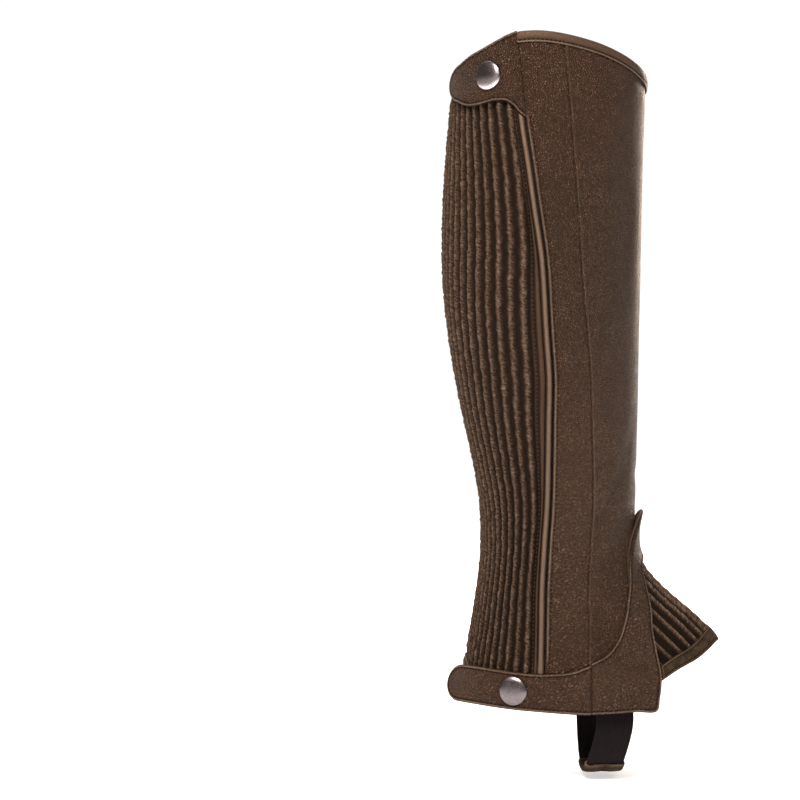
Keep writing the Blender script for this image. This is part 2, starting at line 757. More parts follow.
class Finish(NodeTree):
    """A material under construction."""

    def __init__(self, name, roughness, metallic=0.0, specular=0.5):
        self.material = bpy.data.materials.new(name)
        self.material.use_nodes = True
        super().__init__(self.material.node_tree)
        self.shader = self.tree.nodes["Principled BSDF"]
        self.set("Roughness", roughness)
        self.set("Metallic", metallic)
        self.set("Specular IOR Level", specular)

    def set(self, name, value):
        self.feed(self.shader.inputs[name], value)

    def warm_gloss(self):
        """Tint of the waxed leather's own reflection."""
        self.set("Specular Tint", (1.0, 0.8, 0.64))

    def place(self, stretch=(1.0, 1.0, 1.0)):
        """Object coordinates, stretched."""
        spot = self.node("ShaderNodeTexCoord", output="Object")
        return self.node("ShaderNodeMapping", {"vector_type": "POINT"}, {"Vector": spot, "Scale": stretch})

    def drawn_out(self, spot, turn, length):
        """Coordinates in which a pattern is drawn out to a length along axes that are turned first."""
        return self.node("ShaderNodeMapping", {"vector_type": "TEXTURE"},
                         {"Vector": spot, "Rotation": turn, "Scale": length})

    def part(self, vector, axis):
        return self.node("ShaderNodeSeparateXYZ", values={"Vector": vector}, output=axis)

    def uv(self):
        return self.node("ShaderNodeUVMap", {"uv_map": "UVMap"})

    def stored(self, name):
        return self.node("ShaderNodeAttribute", {"attribute_name": name}, output="Fac")

    def noise(self, scale, detail=2.0, roughness=0.5, place=None, distortion=0.0):
        """Cloudy noise, over object coordinates unless other ones are given."""
        return self.node("ShaderNodeTexNoise", None, {
            "Vector": place or self.place(), "Scale": scale, "Detail": detail, "Roughness": roughness,
            "Distortion": distortion})

    def cells(self, place, scale, feature, output):
        return self.node("ShaderNodeTexVoronoi", {"feature": feature}, {"Vector": place, "Scale": scale},
                         output)

    def tones(self, share, colour, low, high):
        """Colour between a darker and a lighter tone of one colour."""
        return self.mix(share, shade(colour, low), shade(colour, high))

    def shift(self, place, amount, scale):
        """Places that wander a little, so that a pattern isn't regular."""
        wander = self.node("ShaderNodeTexNoise", None, {"Vector": place, "Scale": scale}, output="Color")
        moved = self.node("ShaderNodeVectorMath", {"operation": "SCALE"}, {0: wander, "Scale": amount})
        return self.node("ShaderNodeVectorMath", {"operation": "ADD"}, {0: place, 1: moved})

    def bump(self, height, distance):
        self.set("Normal", self.node("ShaderNodeBump", None, {"Height": height, "Distance": distance}))


def colour_of(name):
    """Colour from the panel, by its name there."""
    return tuple(getattr(bpy.context.scene.half_chap_colours, name))


def shade(colour, factor):
    return tuple(channel * factor for channel in colour)


def rubbed(colour):
    """Lighter, duller tan that the colour wears to."""
    return tuple(channel * 1.3 + pale for channel, pale in zip(colour, (0.10, 0.08, 0.062)))


def grain_of(finish, size, stretched):
    """Pebbled grain: its height, from 0 in its lines to 1, and a random value for each pebble.

    Stretched leather has its pebbles drawn out in slanting rows low on the leg.
    """
    def pebbles(place, reach):
        wander = finish.shift(place, size * 0.7, 0.5 / size)
        height = finish.cells(wander, 1 / size, "DISTANCE_TO_EDGE", "Distance").ramp(-0.03, reach)
        return height, finish.part(finish.cells(wander, 1 / size, "F1", "Color"), 0)

    height, tint = pebbles(finish.place(), 0.36)
    if not stretched:
        return height, tint
    slanted = finish.drawn_out(finish.place(), (0.0, -0.52, 0.0), (2.3, 1.5, 0.75))
    long_height, long_tint = pebbles(slanted, 0.3)
    creases = finish.noise(0.6 / size, 2.0, 0.6, slanted).ramp(0.5, 0.6)
    long_height = long_height * (1 - 0.75 * creases)
    patchy = finish.noise(22.0, 1.0).ramp(0.3, 0.5)
    share = patchy * (1 - finish.part(finish.place(), 2).ramp(-0.33, -0.12))
    return long_height * share + height * (1 - share), long_tint * share + tint * (1 - share)


def leather(name, colour, size=0.0012, depth=0.0015, roughness=0.46, stretched=False, contrast=1.0,
            specular=0.15):
    """Pebbled, waxed leather: mottled brown, dark in its grain and lighter where it is rubbed."""
    finish = Finish(name, roughness, specular=specular)
    grain, tint = grain_of(finish, size, stretched)
    fine = finish.noise(1.2 / size, 2.0, 0.6)
    mottle = finish.noise(45.0, 3.0, 0.6)
    broad = finish.noise(9.0, 1.0)
    low, high = 1 - 0.8 * contrast, 1 + 0.95 * contrast
    tone = finish.tones(tint * 0.4 + fine.ramp(0.4, 0.6) * 0.6, colour, low, high)
    tone = finish.mix(mottle.ramp(0.3, 0.7) * 0.45, tone, shade(colour, 0.62))
    tone = finish.mix(broad.ramp(0.35, 0.7) * 0.3, tone, tuple(np.array(colour) * (1.35, 1.0, 0.9)))
    tone = finish.mix(((1 - grain) * (0.95 * contrast)).limit(), tone, shade(colour, 0.2))
    worn = finish.stored("wear")
    tone = finish.mix((worn * (0.4 + fine)).limit() * 0.75, tone, rubbed(colour))
    tone = finish.mix(finish.stored("valley") * 0.9, tone, shade(colour, 0.1))
    finish.set("Base Color", tone)
    finish.set("Roughness", roughness + 0.16 * mottle - 0.12 * worn - 0.08)
    finish.warm_gloss()
    finish.bump(grain * 0.8 + fine * 0.2 + mottle * 0.3, depth)
    return finish.material


@cache
def panel_leather():
    return leather("panel_leather", colour_of("leather"), stretched=True)


@cache
def trim_leather():
    return leather("trim_leather", colour_of("leather"), size=0.0011, depth=0.0006, contrast=0.8)


@cache
def smooth_leather():
    """Satin leather of the bindings and the welt."""
    return leather("smooth_leather", shade(colour_of("leather"), 0.5), size=0.0009, depth=0.0001,
                   roughness=0.45, contrast=0.35, specular=0.16)


@cache
def pleat_leather():
    """Thin leather over elastic, with fine slanting puckers. Its UV map is in millimetres."""
    colour = colour_of("leather")
    finish = Finish("pleat_leather", 0.6, specular=0.12)
    slanted = finish.drawn_out(finish.uv(), (0.0, 0.0, -0.75), (2.2, 0.75, 1.0))
    pucker = finish.noise(1.0, 1.5, 0.6, slanted, 0.3).ramp(0.41, 0.61)
    speckle = finish.noise(1100.0, 3.0, 0.7)
    mottle = finish.noise(60.0, 2.0)
    height = pucker * 0.6 + speckle.ramp(0.4, 0.6) * 0.4
    worn = finish.stored("wear")
    tone = finish.tones(height, colour, 0.1, 0.95)
    tone = finish.mix(worn * (0.1 + 0.85 * height) * (0.5 + 0.6 * mottle), tone, shade(rubbed(colour), 0.9))
    tone = finish.mix(finish.stored("valley") * 0.95, tone, shade(colour, 0.1))
    finish.set("Base Color", tone)
    finish.set("Roughness", 0.66 - 0.12 * worn)
    finish.warm_gloss()
    finish.bump(height, 0.001)
    return finish.material


@cache
def flesh_side():
    """Napped inside of the leather."""
    finish = Finish("flesh_side", 0.92, specular=0.2)
    nap = finish.noise(1400.0, 3.0, 0.7)
    cloud = finish.noise(60.0, 3.0)
    brown = colour_of("flesh")
    tone = finish.tones(cloud.ramp(0.3, 0.7), brown, 0.8, 1.15)
    finish.set("Base Color", finish.mix(nap.ramp(0.4, 0.7) * 0.4, tone, shade(brown, 1.5)))
    finish.bump(nap, 0.0002)
    return finish.material


@cache
def cut_edge():
    """Dyed cut edge of the leather."""
    finish = Finish("cut_edge", 0.6)
    fibre = finish.noise(2600.0, 3.0)
    brown = colour_of("edge")
    finish.set("Base Color", finish.tones(fibre.ramp(0.35, 0.7), brown, 0.6, 1.2))
    finish.bump(fibre, 0.0001)
    return finish.material


@cache
def suede():
    """Dull brushed suede of the gusset's band and the strap's sleeve."""
    finish = Finish("suede", 0.95, specular=0.05)
    nap = finish.noise(900.0, 4.0, 0.75)
    patches = finish.noise(160.0, 3.0, 0.6)
    brown = colour_of("suede")
    tone = finish.tones(patches.ramp(0.32, 0.68), brown, 0.55, 1.25)
    tone = finish.mix(nap.ramp(0.5, 0.75) * 0.6, tone, shade(brown, 2.2))
    tone = finish.mix(finish.stored("wear") * nap.ramp(0.3, 0.6), tone, shade(brown, 3.0))
    finish.set("Base Color", finish.mix(finish.stored("valley") * 0.8, tone, shade(brown, 0.2)))
    finish.bump(nap, 0.00035)
    return finish.material


@cache
def webbing():
    """Black elastic webbing: ribs along it and a fine weave across. Its UV map is in millimetres."""
    finish = Finish("webbing", 0.9, specular=0.08)
    across = finish.part(finish.uv(), 0)
    along = finish.part(finish.uv(), 1)
    ribs = (across * (math.tau / 1.3)).sine()
    weave = (along * (math.tau / 0.7)).sine() * (across * (math.tau / 0.65)).sine()
    fluff = finish.noise(1800.0, 2.0)
    black = colour_of("elastic")
    tone = finish.tones(ribs.ramp(-0.8, 0.9), black, 0.6, 1.5)
    finish.set("Base Color", finish.mix(fluff.ramp(0.55, 0.8) * 0.4, tone, shade(black, 3.0)))
    finish.bump(ribs * 0.3 + weave * 0.3 + fluff * 0.3, 0.00025)
    return finish.material


@cache
def elastic_back():
    """Inside of the pleated elastic: a fine knit with rows along it."""
    finish = Finish("elastic_back", 0.9, specular=0.2)
    spot = finish.place()
    rows = (finish.part(spot, 2) * (math.tau / 0.0011)).sine()
    fluff = finish.noise(1500.0, 2.0, place=spot)
    black = colour_of("elastic")
    finish.set("Base Color", finish.tones(rows.ramp(-0.9, 0.9) * 0.6 + fluff * 0.3, black, 0.8, 2.6))
    finish.bump(rows * 0.5 + fluff * 0.5, 0.0002)
    return finish.material


@cache
def thread():
    """Dark bonded thread."""
    finish = Finish("thread", 0.8, specular=0.1)
    twist = finish.noise(2400.0, 1.0)
    brown = colour_of("thread")
    finish.set("Base Color", finish.tones(twist.ramp(0.35, 0.65), brown, 0.7, 1.5))
    finish.bump(twist, 0.00008)
    return finish.material


@cache
def coil():
    """Nylon coil of the zip."""
    finish = Finish("coil", 0.6, specular=0.1)
    streaks = finish.noise(900.0, 2.0, place=finish.place((1.0, 1.0, 0.2)))
    finish.set("Base Color", finish.mix(streaks, (0.012, 0.01, 0.01), (0.03, 0.026, 0.025)))
    finish.bump(streaks, 0.00005)
    return finish.material


@cache
def aged_steel():
    """Antique nickel on the snap caps: dark lilac tarnish, bright where it is polished."""
    finish = Finish("aged_steel", 0.25, 1.0)
    cloud = finish.noise(210.0, 3.0, 0.6)
    speck = finish.noise(1700.0, 2.0)
    steel = colour_of("steel")
    tone = finish.tones(cloud.ramp(0.3, 0.7), steel, 0.8, 1.1)
    tone = finish.mix(finish.stored("wear"), tone, shade(steel, 4.6))
    tone = finish.mix(speck.ramp(0.55, 0.75) * 0.4, tone, shade(steel, 0.55))
    finish.set("Base Color", finish.mix(finish.stored("valley") * 0.8, tone, shade(steel, 0.25)))
    finish.set("Roughness", 0.16 + 0.14 * cloud + 0.1 * speck)
    finish.bump(speck * 0.4 + cloud * 0.3, 0.00005)
    return finish.material


def plain(name, colour, roughness, glow):
    finish = Finish(name, roughness)
    finish.set("Emission Color", (1.0, 1.0, 1.0))
    finish.set("Emission Strength", glow)
    cloud = finish.noise(3.0, 2.0)
    finish.set("Base Color", finish.mix(cloud, shade(colour, 0.985), colour))
    return finish.material


# ---------------------------------------------------------------- leg panels

FLARE_ROWS = [0.0, 0.015, 0.03, 0.045, 0.065, 0.09, 0.12, 0.17, 0.24, 0.32, 0.4, 0.48, 0.56, 0.64,
              0.72, 0.8, 0.87, 0.94, 1.0]


def closer_at_foot(v):
    """Places up a panel, closer together where the shin curves out to the instep."""
    return np.interp(v, np.linspace(0, 1, len(FLARE_ROWS)), FLARE_ROWS)


def notch_edge(angle):
    lean = np.clip((180 - angle) / 30, -1.0, 1.0)
    return gusset_side(angle + NOTCH_LAP * lean) + NOTCH_LAP


def main_panel_foot(angle):
    """Lower edge of the main panel: hem, notch for the gusset, hem."""
    outer_corner = OVERLAY[3].gusset_angle - NOTCH_LAP
    inner_corner = OVERLAY[-1].gusset_angle + 1.0
    hem_left = low_edge(inner_corner) + PANEL_SHORT
    notch = np.maximum(np.minimum(notch_edge(angle), -280.0), np.where(angle < 180, OUTER_HEM, hem_left))
    notch = np.where(angle > inner_corner, low_edge(angle) + PANEL_SHORT, notch)
    return np.where(angle < outer_corner, OUTER_HEM, notch)


def panel_top(angle):
    return top_edge(angle) - PANEL_SHORT


stay_middle = line_up_leg(lambda z: step_round(stay_line(z), z, STAY_LAP))
elastic_behind = line_up_leg(lambda z: step_round(stay_line(z), z, STAY_LAP + 2 * SEAM_GAP))
elastic_start = line_up_leg(lambda z: step_round(stay_line(z), z, STAY_WIDTH + SEAM_GAP))
elastic_end = line_up_leg(lambda z: step_round(360 + zip_line(z), z, -guard_width(z)))
elastic_beyond = line_up_leg(lambda z: step_round(360 + zip_line(z), z, GUARD_LAP - GUARD_END))
tab_seam = line_up_leg(lambda z: step_round(zip_line(z), z, -0.05))


def main_panel_place(u, v, out):
    first, last = 100.0, 306.0

    def side(z):
        return (blend(first, last, u) + (side_seam(z) - first) * (1 - u) ** 12
                + (stay_middle(z) - last) * u**4)

    return on_leg(*solve_place(side, main_panel_foot, panel_top, v), out)


def side_panel_place(u, v, out):
    def side(z):
        return blend(zip_line(z), side_seam(z), u)

    return on_leg(*solve_place(side, level(OUTER_HEM), panel_top, v), out)


def make_leg_panels():
    thickness = sizes().leather / MM
    main = Pattern(main_panel_place)

    def seam(gap):
        return 0.25 * bell(gap - 1.5, 0.9) - 0.55 * bell(gap, 0.5)

    def main_face(u, v, gap):
        return seam(gap) * (u < 0.5)

    def main_marks(u, v, gap):
        return 0.25 * bell(gap - 1.0, 0.4) * (u < 0.5), 0.35 * bell(gap, 0.4) * (u < 0.5)

    panel = bend_sheet("main_panel", main, 150, 190, main_face, main_marks,
                       ease_u=lambda t: 0.25 * t + 0.75 * t**2, ease_v=closer_at_foot)
    thicken(panel, thickness, panel_leather())
    fit(panel, "brown_leather", "main_panel")

    side = Pattern(side_panel_place)
    row = 2.3

    def free(v):
        z = blend(-372.0, 20.0, v)
        return fade(z, -348.0, -338.0) * (1 - fade(z, -32.0, -24.0))

    def side_face(u, v, gap):
        roll = 0.6 * bell(gap - 1.0, 0.7) - 0.5 * bell(gap, 0.4) - 0.25 * bell(gap - row, 0.6)
        return np.where(u < 0.5, free(v) * roll, seam(gap))

    def side_marks(u, v, gap):
        folded = u < 0.5
        rim = 0.5 * bell(gap, 0.4)
        return bell(gap - 0.9, 0.5) * folded * free(v), np.where(folded, rim, 0.3 * bell(gap, 0.4))

    strip = bend_sheet("side_panel", side, 44, 190, side_face, side_marks, ease_u=0.75, ease_v=closer_at_foot)
    thicken(strip, thickness, panel_leather())
    fit(strip, "brown_leather", "side_panel")
    line = side.rail(0.0, 0.06, 0.88)
    inner_line = (line[0] + unit(side.rail(0.1, 0.06, 0.88)[0] - line[0]) * row, line[1])
    seams = sew("side_panel_stitches", [strip], [inner_line])


# ---------------------------------------------------------------- pleated elastic

def make_elastic():
    """Leather gathered over elastic in upright pleats, puckered across by its stitching."""
    pleats, steps, margin, inside = sizes().pleats, 10, 3, 14
    first, last = 0.075, 0.925
    flat, foot, top, inner = -1.5, -2.9, 0.1, -3.9
    outer_u = np.concatenate([np.linspace(0, first, margin, endpoint=False),
                              np.linspace(first, last, pleats * steps + 1),
                              np.linspace(last, 1, margin + 1)[1:]])
    ring_u = np.concatenate([outer_u, np.linspace(1, 0, inside), outer_u[:1]])
    is_inside = np.repeat([False, True, False], (len(outer_u), inside, 1))
    rng = np.random.default_rng(11)
    waves = [(2.9, 0.2), (3.7, 0.2), (5.3, 0.16), (8.3, 0.16), (17.0, 0.14)]
    phases = rng.uniform(0, math.tau, (len(waves), pleats + 2))
    sway = rng.uniform(0, math.tau, (3, pleats + 2))
    fullness = rng.uniform(0.82, 1.0, pleats + 2)

    def angle_across(u, z):
        start, end = elastic_start(z), elastic_end(z)
        behind, beyond = elastic_behind(z), elastic_beyond(z)
        middle = blend(start, end, (u - first) / (last - first))
        return np.where(u < first, blend(behind, start, u / first),
                        np.where(u > last, blend(end, beyond, (u - last) / (1 - last)), middle))

    def ridge_of(u, z):
        """Share of the pleat's height, and how far from its stitched valley a place is."""
        share = (u - first) / (last - first)
        across = (share + 0.15 * share**2 * (1 - share)) * pleats
        for wave, size in enumerate((0.03, 0.022, 0.018)):
            nearest = np.clip(np.rint(across), 0, pleats).astype(int)
            across = across + size * np.sin(z * math.tau / (9.0 + 8 * wave) + sway[wave, nearest]) * (
                fade(u, first, first + 0.02) * (1 - fade(u, last - 0.02, last)))
        pleat = np.clip(np.floor(across), 0, pleats).astype(int)
        phase = across - np.floor(across)
        hump = np.sin(math.pi * phase) ** 2.2 * fullness[pleat]
        crinkle = np.zeros(len(u))
        for (length, size), phase_of in zip(waves, phases):
            slanted = z + (phase - 0.5) * 2.2
            crinkle += size * np.sin(slanted * math.tau / length + phase_of[pleat])
        height = hump * (1 + 0.16 * crinkle) + 0.05 * crinkle * np.sin(math.pi * phase)
        return np.clip(height, 0.0, 1.3), hump, across

    def alive(angle, z):
        low, high = low_edge(angle) + BINDING_DEPTH, top_edge(angle) - BINDING_DEPTH
        return fade(z, low - 1.0, low + 6.0) * (1 - fade(z, high - 6.0, high + 1.0))

    def section(station, v):
        u = ring_u[station]
        angle, z = solve_place(lambda at: angle_across(u, at), lambda a: low_edge(a) + PANEL_SHORT,
                               lambda a: top_edge(a) - PANEL_SHORT, v)
        height = ridge_of(u, z)[0]
        pleated = blend(flat, blend(foot, top, height), alive(angle, z))
        out = np.where((u < first) | (u > last), flat, pleated)
        return angle, z, np.where(is_inside[station], inner, out)

    def outward(station, v):
        return leg_normal(*section(station, v)[:2]) * np.where(is_inside[station], -1.0, 1.0)[:, None]

    piece, station, v = ring_grid("elastic_panel", len(ring_u) - 1, 420,
                                  lambda station, v: on_leg(*section(station, v)), outward)
    angle, z, _ = section(station, v)
    height, hump, across = ridge_of(ring_u[station], z)
    shown = ~is_inside[station]
    store(piece, "valley", np.where(shown, (1 - fade(hump, 0.12, 0.62)) * alive(angle, z), 0.0))
    store(piece, "wear", np.where(shown, fade(height, 0.5, 1.05), 0.0))
    lay_uv(piece, across * 6.0, z)
    piece.data.materials.append(pleat_leather())
    piece.data.materials.append(elastic_back())
    piece.data.polygons.foreach_set("material_index", faces_among(piece, ~shown))
    close_bar(piece)
    smooth(piece, 80)
    fit(piece, "pleated_leather", "elastic_panel")
    return piece


def faces_among(piece, chosen):
    """1 for each face of a grid whose corners are all among the chosen vertices, and 0 for the others."""
    return chosen[corners_of(piece)].reshape(-1, 4).all(axis=1).astype(np.int32)


# ---------------------------------------------------------------- long strips

def strip_pattern(edge, low, high, start, width):
    def place(u, v, out):
        angle, z = solve_place(lambda at: edge(at, blend(start, width, u)), low, high, v)
        return on_leg(angle, z, out)

    return Pattern(place)


def make_strip(name, pattern, profile, under, rows, material, seams, deep, bright, wrinkle=0.0,
               height=None):
    """Strip with a raised profile across it and a flat underside.

    It lies dark at its seams and where its profile sinks to deep, and is worn light above bright.
    """
    stands = Curve(profile, "across", "out")
    start, end = profile[0].across, profile[-1].across
    outside, inside = 56, 10
    ring_u = np.concatenate([np.linspace(0, 1, outside), np.linspace(1, 0, inside), [0.0]])
    under_side = np.repeat([False, True, False], (outside, inside, 1))

    def place(station, v):
        u = ring_u[station]
        out = stands(blend(start, end, u))
        base = pattern.place(u, v, 0.0)
        if wrinkle:
            out = out + wrinkle * fade(out, under, under + 1.5) * np.array(
                [noise.noise(Vector(point) / 2.6) for point in base])
        if height:
            out = height(out, base[:, 2])
        return pattern.place(u, v, np.where(under_side[station], under, out))

    def outward(station, v):
        side = np.where(under_side[station], -1.0, 1.0)[:, None]
        return pattern.outward(ring_u[station], v) * side

    piece, station, _ = ring_grid(name, len(ring_u) - 1, rows, place, outward)
    across, shown = blend(start, end, ring_u[station]), ~under_side[station]
    stand = stands(across)
    dips = np.minimum.reduce([np.abs(across - row) for row in seams])
    sunk = 1 - fade(stand, deep, deep + 0.9)
    store(piece, "valley", 0.85 * shown * np.maximum(bell(dips, 0.5), sunk))
    store(piece, "wear", 0.7 * shown * fade(stand, bright, bright + 1.0))
    close_bar(piece)
    piece.data.materials.append(material)
    smooth(piece)
    return piece


def make_back_stay():
    pattern = strip_pattern(lambda z, across: step_round(stay_line(z), z, across),
                            lambda angle: low_edge(angle) + HEM_BINDING_DEPTH + SEAM_GAP,
                            lambda angle: top_edge(angle) - BINDING_DEPTH - SEAM_GAP, 0.0, STAY_WIDTH)
    stay = make_strip("back_stay", pattern, STAY_PROFILE, 0.3, 230, trim_leather(), STAY_ROWS, 0.3, 1.5,
                      wrinkle=0.3)
    fit(stay, "brown_leather", "back_stay")
    rows = [pattern.rail(across / STAY_WIDTH, 0.003, 0.997) for across in STAY_ROWS]
    seams = sew("back_stay_stitches", [stay], rows)


def guard_edge(z, across):
    """Angle at a place across the guard, which is widest at the calf. Its welt keeps its width."""
    share = (guard_width(z) - WELT_WIDTH) / (GUARD_PROFILE[-1].across - WELT_WIDTH)
    beyond = np.maximum(across - WELT_WIDTH, 0.0)
    return step_round(360 + zip_line(z), z, -(np.minimum(across, WELT_WIDTH) + beyond * share))


def make_zip():
    """Zip guard with its round welt, the tape behind it and its closed coil."""
    first, last = GUARD_PROFILE[0].across, GUARD_PROFILE[-1].across
    pattern = strip_pattern(guard_edge, level(GUARD_FOOT),
                            lambda angle: top_tab_low(angle - 360) - 2 * SEAM_GAP, first, last)

    def pressed(out, z):
        return blend(np.minimum(out, -0.15), out, fade(z, -350.0, -340.0))

    guard = make_strip("zip_guard", pattern, GUARD_PROFILE, -0.95, 230, smooth_leather(), GUARD_DIPS, -0.6,
                       0.6, wrinkle=0.35, height=pressed)
    fit(guard, "brown_leather", "zip_guard")
    row = pattern.rail((GUARD_ROW - first) / (last - first), 0.0, 0.997)
    seams = sew("zip_guard_stitches", [guard], [row])

    columns, rows = 24, 150
    tape_pattern = strip_pattern(lambda z, across: step_round(zip_line(z), z, -across), level(TAPE_FOOT),
                                 level(TAPE_TOP), -TAPE_LAP, TAPE_WIDTH - TAPE_LAP)
    tape = bend_sheet("zip_tape", tape_pattern, columns, rows, -TAPE_DEPTH)
    across = np.tile(np.linspace(0, TAPE_WIDTH, columns + 1), rows + 1)
    lay_uv(tape, across, points_of(tape)[:, 2] / MM)
    thicken(tape, 1.0, webbing(), webbing(), webbing())
    fit(tape, "black_elastic", "zip_tape")

    pitch, radius, middle, apart, depth = 1.5, 0.75, -1.2, 0.55, 2.72
    places = []
    for start, side in ((0.0, -1.0), (0.5, 1.0)):
        z = np.arange(TAPE_FOOT + 2.0 + start * pitch, TAPE_TOP - 2.0, pitch)
        places.append((step_round(zip_line(z), z, middle + side * apart), z))
    angle, z = np.concatenate(places, axis=1)
    upward = unit(leg_point(angle, z + 1) - leg_point(angle, z - 1))
    deselect()
    bpy.ops.mesh.primitive_uv_sphere_add(segments=8, ring_count=6, radius=radius * MM)
    tooth = bpy.context.object
    set_points(tooth, points_of(tooth) * (0.72, 1.5, 0.85))
    teeth = copies("zip_teeth", tooth, on_leg(angle, z, -depth), upward, leg_normal(angle, z), coil())
    fit(teeth, "black_elastic")


# ---------------------------------------------------------------- bindings

def rolled_section(outside, inside, depth, clear_out, clear_in):
    """Section of a folded binding: a full roll with a stitched groove and a lip at its foot."""
    middle, wall = (outside + inside) / 2, 1.4
    return table(
        BindingPoint,
        (outside - 1.0, -depth), (outside - 0.35, -depth + 0.15), (outside - 0.2, -depth + 0.8),
        (outside - 0.95, -depth + 1.4), (outside - 0.3, -depth + 2.1), (outside + 0.1, -depth * 0.5),
        (outside, -wall), (outside - 0.6, -0.35), (middle, 0.0), (inside + 0.6, -0.35), (inside, -wall),
        (inside - 0.05, -depth * 0.5), (inside + 0.1, -depth + 0.5), (inside + 0.5, -depth),
        (clear_in, -depth), (clear_in, -wall), (clear_out, -wall), (clear_out, -depth))


def make_binding(name, section, edge, start, end, steps, upwards):
    """Strip of leather folded over an edge. upwards is 1 at the top edge and -1 at the hem."""
    ring = section + section[:1]
    out, up = np.array([point.out for point in ring]), np.array([point.up for point in ring])
    count = len(section)
    lip, groove_at, roll, inside = (1, 2), 3, (5, 6), range(count - 4, count)

    def base(v):
        angle = blend(start, end, v)
        return angle, edge(angle)

    def place(station, v):
        angle, z = base(v)
        ripple = 0.10 * np.sin(v * steps * 0.9 + station % count) * (up[station] < -1.0)
        return on_leg(angle, z + up[station] * upwards, out[station] + ripple * (out[station] > 0.5))

    def outward(station, v):
        side = np.sign(out[station] - (out.max() + out.min()) / 2)
        return leg_normal(*base(v)) * np.where(np.isin(station, inside), -side, side)[:, None]

    piece, station, _ = ring_grid(name, count, steps, place, outward)
    store(piece, "wear", 0.6 * np.isin(station, lip) + 0.2 * np.isin(station, roll))
    store(piece, "valley", 1.0 * (station == groove_at))
    close_bar(piece)
    modify(piece, "SUBSURF", levels=2, render_levels=2)
    piece.data.materials.append(smooth_leather())
    smooth(piece, 75)
    fit(piece, "brown_leather", name)
    angle = np.linspace(blend(start, end, 0.006), blend(start, end, 0.994), 500)
    height = edge(angle) + section[groove_at].up * upwards
    return piece, (leg_point(angle, height), leg_normal(angle, height))


def make_bindings():
    leather_roll = rolled_section(1.6, -3.1, BINDING_DEPTH, 0.3, -1.9)
    hem_roll = rolled_section(1.6, -3.1, HEM_BINDING_DEPTH, 0.3, -1.9)
    elastic_roll = rolled_section(0.0, -4.3, BINDING_DEPTH, -0.9, -3.3)
    end_gap = 0.9
    top_joint = step_round(stay_line(0.0), 0.0, STAY_LAP)
    low_joint = step_round(stay_line(-350.0), -350.0, STAY_LAP)
    top_zip = step_round(360 + zip_line(0.0), 0.0, -GUARD_END)
    low_zip = step_round(360 + zip_line(-362.0), -362.0, -GUARD_END)
    front_corner = OVERLAY[-1].gusset_angle + 1.2
    made = [
        make_binding("top_binding", leather_roll, top_edge, zip_line(16.0) - 1.1, top_joint - end_gap,
                     110, 1),
        make_binding("elastic_top_binding", elastic_roll, top_edge, top_joint + 2 * end_gap, top_zip,
                     56, 1),
        make_binding("hem_binding", hem_roll, low_edge, front_corner, low_joint - end_gap, 56, -1),
        make_binding("elastic_hem_binding", elastic_roll, low_edge, low_joint + 2 * end_gap, low_zip,
                     56, -1),
    ]
    sew("binding_stitches", [piece for piece, _ in made], [row for _, row in made], sink=0.02)


# ---------------------------------------------------------------- overlay and tabs

def overlay_place(u, v, out):
    step = v * (len(OVERLAY) - 1)
    gusset_angle, gusset_z, leg_angle, leg_z = [curve(step) for curve in overlay_curves]
    return on_leg(blend(gusset_angle, leg_angle, u), blend(gusset_z, leg_z, u), out)


def make_overlay():
    """Strong leather over the instep: it rises to an ear at the shin and has a leg on each side."""
    under, stand = 0.5, 3.0
    pattern = Pattern(overlay_place, ("right", "top", "left"))
    row = 1.8

    def outside(u, v, gap):
        step = v * (len(OVERLAY) - 1)
        ear = stand * u**2 * (1 - fade(np.abs(step - EAR_STEP), 0.2, 2.2))
        return under + STRONG + ear + turned_edge(gap, row) - 0.3 * bell(v, 0.003)

    def marks(u, v, gap):
        worn, dark = sewn_at(row)(u, v, gap)
        at_ear = 1 - fade(np.abs(v * (len(OVERLAY) - 1) - EAR_STEP), 2.0, 4.0)
        ear = 0.9 * fade(u, 0.5, 0.8) * at_ear
        return worn * (1 - at_ear), np.maximum(np.maximum(dark, ear), 0.85 * bell(v, 0.0025))

    overlay = bend_sheet("front_overlay", pattern, 46, 360, outside, marks, ease_u=0.72, ease_v=0.5)
    thicken(overlay, STRONG, panel_leather())
    fit(overlay, "brown_leather", "front_overlay")
    rows = [pattern.inset(row, ("right",)), pattern.inset(row, ("left",))]
    seams = sew("overlay_stitches", [overlay], rows)


def round_end(along, across):
    """Square corner of a tab's end drawn in to a half circle: along and across from 0 to 1."""
    return along * np.sqrt(1 - across**2 / 2), across * np.sqrt(1 - along**2 / 2)


def top_tab_place(u, v, out):
    """u runs from the seam beside the zip to the tip, v from the lower to the upper edge."""
    end_span, body = 17.0, 0.68
    tip = TOP_TAB_END - 0.4
    side = 2 * v - 1
    z = blend(-28.0, 20.0, v)
    for _ in range(8):
        start = tab_seam(z)
        into = np.clip((u - body) / (1 - body), 0.0, 1.0)
        reach, spread = round_end(into, side)
        straight = blend(start, tip + end_span, np.clip(u / body, 0.0, 1.0))
        angle = straight - end_span * reach
        wide = np.where(angle < tip + end_span, blend(tip + end_span, angle, 0.4), angle)
        narrowing = np.where(into > 0, spread, side)
        middle = (top_tab_top(angle) + top_tab_low(angle)) / 2
        half = (top_tab_top(wide) - top_tab_low(wide)) / 2
        z = middle + half * narrowing
    ramp = fade(start - angle, 0.0, 8.0)
    lifted = out(angle, z) if callable(out) else out
    return on_leg(angle, z, lifted + blend(0.05 - STRONG, 0.3, ramp))


